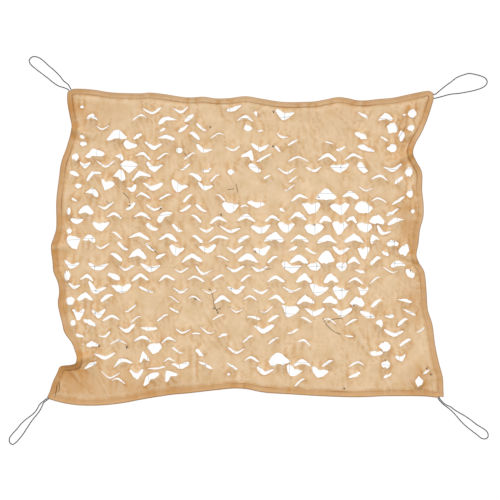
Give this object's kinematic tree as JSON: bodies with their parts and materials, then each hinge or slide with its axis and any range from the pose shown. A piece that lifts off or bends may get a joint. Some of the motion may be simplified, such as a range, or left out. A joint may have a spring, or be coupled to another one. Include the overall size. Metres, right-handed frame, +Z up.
{
  "type": "camouflage netting",
  "caption": "Flat rectangular camouflage net of leaf-cut cloth with rows of crescent gaps, a turned hem all round and a thin cord loop at each corner.",
  "frame": {"origin": "on the surface it lies on, under the middle of the cloth's box", "axes": "+X along the net's longer side, +Y along its shorter side, +Z up out of the cloth"},
  "size_m": [1.9189, 1.5532, 0.0236],
  "materials": {
    "cloth": "matt sand-coloured woven polyester, with a fine weave and soft creases",
    "cord": "matt dark twisted cord"
  },
  "bodies": {
    "root": {"net_panel": "cloth", "loop_top_left": "cord", "loop_top_right": "cord", "loop_bottom_right": "cord", "loop_bottom_left": "cord"}
  },
  "joints": []
}
